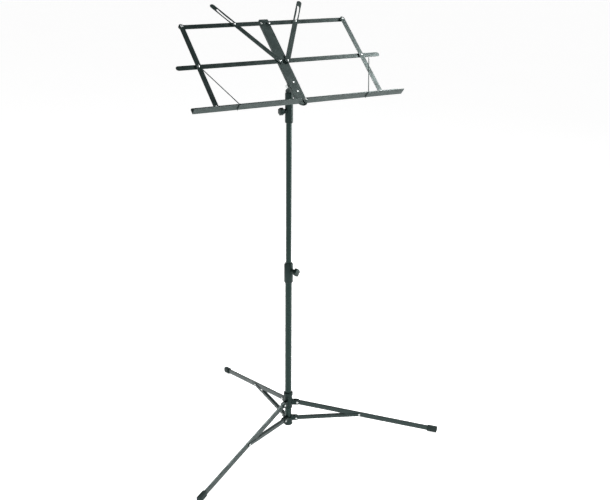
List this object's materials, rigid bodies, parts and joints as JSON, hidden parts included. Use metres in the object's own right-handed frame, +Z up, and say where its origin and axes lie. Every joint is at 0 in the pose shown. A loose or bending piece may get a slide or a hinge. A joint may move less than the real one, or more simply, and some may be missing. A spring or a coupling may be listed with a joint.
{
  "type": "music stand",
  "caption": "Folding music stand: tripod with braced channel legs, telescopic pole with clamp knobs, and a folding bar desk with an angled music ledge and wire page clips",
  "frame": {"origin": "centre of the bounding box on the floor under the feet", "axes": "+Z up; the desk faces -Y, with its left and right along -X and +X"},
  "size_m": [0.6169, 0.5454, 0.9766],
  "materials": {
    "black_paint": "satin black powder coat",
    "tube_paint": "smooth black enamel",
    "bright_nickel": "bright nickel-plated rivets and bolts",
    "knob_plastic": "moulded black plastic",
    "rubber_cap": "matt black rubber"
  },
  "bodies": {
    "base": {"lower_tube": "tube_paint", "lower_hub": "knob_plastic", "clamp_body": "knob_plastic", "brace_pin_1": "bright_nickel", "brace_pin_2": "bright_nickel", "brace_pin_3": "bright_nickel"},
    "leg_collar": {"leg_hub": "knob_plastic"},
    "clamp_handle": {"clamp_knob": "knob_plastic"},
    "mast": {"upper_tube": "tube_paint", "upper_tube_plug": "knob_plastic"},
    "swivel": {"socket": "knob_plastic", "tilt_knuckle": "knob_plastic"},
    "socket_handle": {"socket_knob": "knob_plastic"},
    "desk_spine": {"strap": "black_paint", "tilt_bracket": "black_paint", "tilt_bolt": "bright_nickel", "tilt_nut": "bright_nickel", "strap_rivet_1": "bright_nickel", "strap_rivet_2": "bright_nickel", "top_pivot_left": "bright_nickel", "top_pivot_right": "bright_nickel", "mid_pivot_left": "bright_nickel", "mid_pivot_right": "bright_nickel", "ledge_pivot_left": "bright_nickel", "ledge_pivot_right": "bright_nickel"},
    "brace_1": {"brace_1": "black_paint"},
    "leg_1": {"leg_1": "black_paint", "foot_cap_1": "rubber_cap", "brace_rivet_1": "bright_nickel"},
    "brace_2": {"brace_2": "black_paint"},
    "leg_2": {"leg_2": "black_paint", "foot_cap_2": "rubber_cap", "brace_rivet_2": "bright_nickel"},
    "brace_3": {"brace_3": "black_paint"},
    "leg_3": {"leg_3": "black_paint", "foot_cap_3": "rubber_cap", "brace_rivet_3": "bright_nickel"},
    "mid_left": {"mid_bar_left": "black_paint", "mid_corner_left": "bright_nickel"},
    "top_left": {"top_bar_left": "black_paint", "page_rivet_left": "bright_nickel", "top_corner_left": "bright_nickel"},
    "ledge_left": {"ledge_arm_left": "black_paint", "ledge_corner_left": "bright_nickel"},
    "outer_left": {"outer_bar_left": "black_paint"},
    "page_left": {"page_bar_left": "black_paint"},
    "clip_left": {"page_clip_left": "black_paint"},
    "mid_right": {"mid_bar_right": "black_paint", "mid_corner_right": "bright_nickel"},
    "top_right": {"top_bar_right": "black_paint", "page_rivet_right": "bright_nickel", "top_corner_right": "bright_nickel"},
    "ledge_right": {"ledge_arm_right": "black_paint", "ledge_corner_right": "bright_nickel"},
    "outer_right": {"outer_bar_right": "black_paint"},
    "page_right": {"page_bar_right": "black_paint"},
    "clip_right": {"page_clip_right": "black_paint"}
  },
  "joints": [
    {"name": "leg_collar_slide", "type": "slide", "parent": "base", "child": "leg_collar", "axis": [0, 0, 1], "range_m": [0, 0.2569]},
    {"name": "clamp_knob_turn", "type": "hinge", "parent": "base", "child": "clamp_handle", "pos_m": [0.00592, -0.08106, 0.403], "axis": [0.4226, -0.9063, 0], "range_deg": [0, 360]},
    {"name": "height_slide", "type": "slide", "parent": "base", "child": "mast", "axis": [0, 0, 1], "range_m": [-0.3, 0.04]},
    {"name": "desk_swivel", "type": "hinge", "parent": "mast", "child": "swivel", "pos_m": [0.00592, -0.08106, 0.764], "axis": [0, 0, 1], "continuous": true},
    {"name": "socket_knob_turn", "type": "hinge", "parent": "swivel", "child": "socket_handle", "pos_m": [0.00592, -0.08106, 0.764], "axis": [-1, 0, 0], "range_deg": [0, 360]},
    {"name": "desk_tilt", "type": "hinge", "parent": "swivel", "child": "desk_spine", "pos_m": [0.00592, -0.09441, 0.8184], "axis": [-1, 0, 0], "range_deg": [-35, 40]},
    {"name": "brace_fold_1", "type": "hinge", "parent": "base", "child": "brace_1", "pos_m": [0.02229, -0.09128, 0.0333], "axis": [-0.5295, -0.8483, 0], "range_deg": [0, 83.12]},
    {"name": "leg_fold_1", "type": "hinge", "parent": "brace_1", "child": "leg_1", "pos_m": [0.14818, -0.16985, 0.04406], "axis": [0.5295, 0.8483, 0], "range_deg": [0, 159.41]},
    {"name": "brace_fold_2", "type": "hinge", "parent": "base", "child": "brace_2", "pos_m": [0.00658, -0.06177, 0.0333], "axis": [0.9994, -0.0344, 0], "range_deg": [0, 83.12]},
    {"name": "leg_fold_2", "type": "hinge", "parent": "brace_2", "child": "leg_2", "pos_m": [0.01168, 0.08653, 0.04406], "axis": [-0.9994, 0.0344, 0], "range_deg": [0, 159.41]},
    {"name": "brace_fold_3", "type": "hinge", "parent": "base", "child": "brace_3", "pos_m": [-0.01112, -0.09013, 0.0333], "axis": [-0.4699, 0.8827, 0], "range_deg": [0, 83.12]},
    {"name": "leg_fold_3", "type": "hinge", "parent": "brace_3", "child": "leg_3", "pos_m": [-0.1421, -0.15986, 0.04406], "axis": [0.4699, -0.8827, 0], "range_deg": [0, 159.41]},
    {"name": "desk_fold_left", "type": "hinge", "parent": "desk_spine", "child": "mid_left", "pos_m": [-0.00338, -0.05754, 0.86556], "axis": [0, 0.6726, -0.74], "range_deg": [0, 84]},
    {"name": "top_fold_left", "type": "hinge", "parent": "desk_spine", "child": "top_left", "pos_m": [-0.00338, 0.02196, 0.93613], "axis": [0, 0.6726, -0.74], "range_deg": [0, 84.05]},
    {"name": "ledge_fold_left", "type": "hinge", "parent": "desk_spine", "child": "ledge_left", "pos_m": [-0.00338, -0.13263, 0.79562], "axis": [0, 0.6726, -0.74], "range_deg": [0, 84.05]},
    {"name": "page_fold_left", "type": "hinge", "parent": "desk_spine", "child": "page_left", "pos_m": [-0.00338, -0.05832, 0.86641], "axis": [0, 0.6726, -0.74], "range_deg": [0, 28.93]},
    {"name": "outer_fold_left", "type": "hinge", "parent": "mid_left", "child": "outer_left", "pos_m": [-0.19078, -0.05912, 0.8673], "axis": [0, -0.6726, 0.74], "range_deg": [0, 84.05]},
    {"name": "clip_fold_left", "type": "hinge", "parent": "ledge_left", "child": "clip_left", "pos_m": [-0.14758, -0.1433, 0.79086], "axis": [0, -0.6726, 0.74], "range_deg": [0, 61.6]},
    {"name": "desk_fold_right", "type": "hinge", "parent": "desk_spine", "child": "mid_right", "pos_m": [0.01522, -0.05754, 0.86556], "axis": [0, -0.6726, 0.74], "range_deg": [0, 84]},
    {"name": "top_fold_right", "type": "hinge", "parent": "desk_spine", "child": "top_right", "pos_m": [0.01522, 0.02196, 0.93613], "axis": [0, -0.6726, 0.74], "range_deg": [0, 84.05]},
    {"name": "ledge_fold_right", "type": "hinge", "parent": "desk_spine", "child": "ledge_right", "pos_m": [0.01522, -0.13263, 0.79562], "axis": [0, -0.6726, 0.74], "range_deg": [0, 84.05]},
    {"name": "page_fold_right", "type": "hinge", "parent": "desk_spine", "child": "page_right", "pos_m": [0.01522, -0.05832, 0.86641], "axis": [0, -0.6726, 0.74], "range_deg": [0, 28.93]},
    {"name": "outer_fold_right", "type": "hinge", "parent": "mid_right", "child": "outer_right", "pos_m": [0.20262, -0.05912, 0.8673], "axis": [0, 0.6726, -0.74], "range_deg": [0, 84.05]},
    {"name": "clip_fold_right", "type": "hinge", "parent": "ledge_right", "child": "clip_right", "pos_m": [0.15942, -0.1433, 0.79086], "axis": [0, 0.6726, -0.74], "range_deg": [0, 61.6]}
  ],
  "couplings": [
    {"joint": "brace_fold_1", "follows": "leg_collar_slide", "rad_per_m": 5.6434},
    {"joint": "leg_fold_1", "follows": "leg_collar_slide", "rad_per_m": 10.826},
    {"joint": "brace_fold_2", "follows": "leg_collar_slide", "rad_per_m": 5.6434},
    {"joint": "leg_fold_2", "follows": "leg_collar_slide", "rad_per_m": 10.826},
    {"joint": "brace_fold_3", "follows": "leg_collar_slide", "rad_per_m": 5.6434},
    {"joint": "leg_fold_3", "follows": "leg_collar_slide", "rad_per_m": 10.826},
    {"joint": "top_fold_left", "follows": "desk_fold_left", "ratio": 1},
    {"joint": "ledge_fold_left", "follows": "desk_fold_left", "ratio": 1},
    {"joint": "page_fold_left", "follows": "desk_fold_left", "ratio": 0.34375},
    {"joint": "outer_fold_left", "follows": "desk_fold_left", "ratio": 1},
    {"joint": "clip_fold_left", "follows": "desk_fold_left", "ratio": 0.7326},
    {"joint": "top_fold_right", "follows": "desk_fold_right", "ratio": 1},
    {"joint": "ledge_fold_right", "follows": "desk_fold_right", "ratio": 1},
    {"joint": "page_fold_right", "follows": "desk_fold_right", "ratio": 0.34375},
    {"joint": "outer_fold_right", "follows": "desk_fold_right", "ratio": 1},
    {"joint": "clip_fold_right", "follows": "desk_fold_right", "ratio": 0.7326}
  ]
}
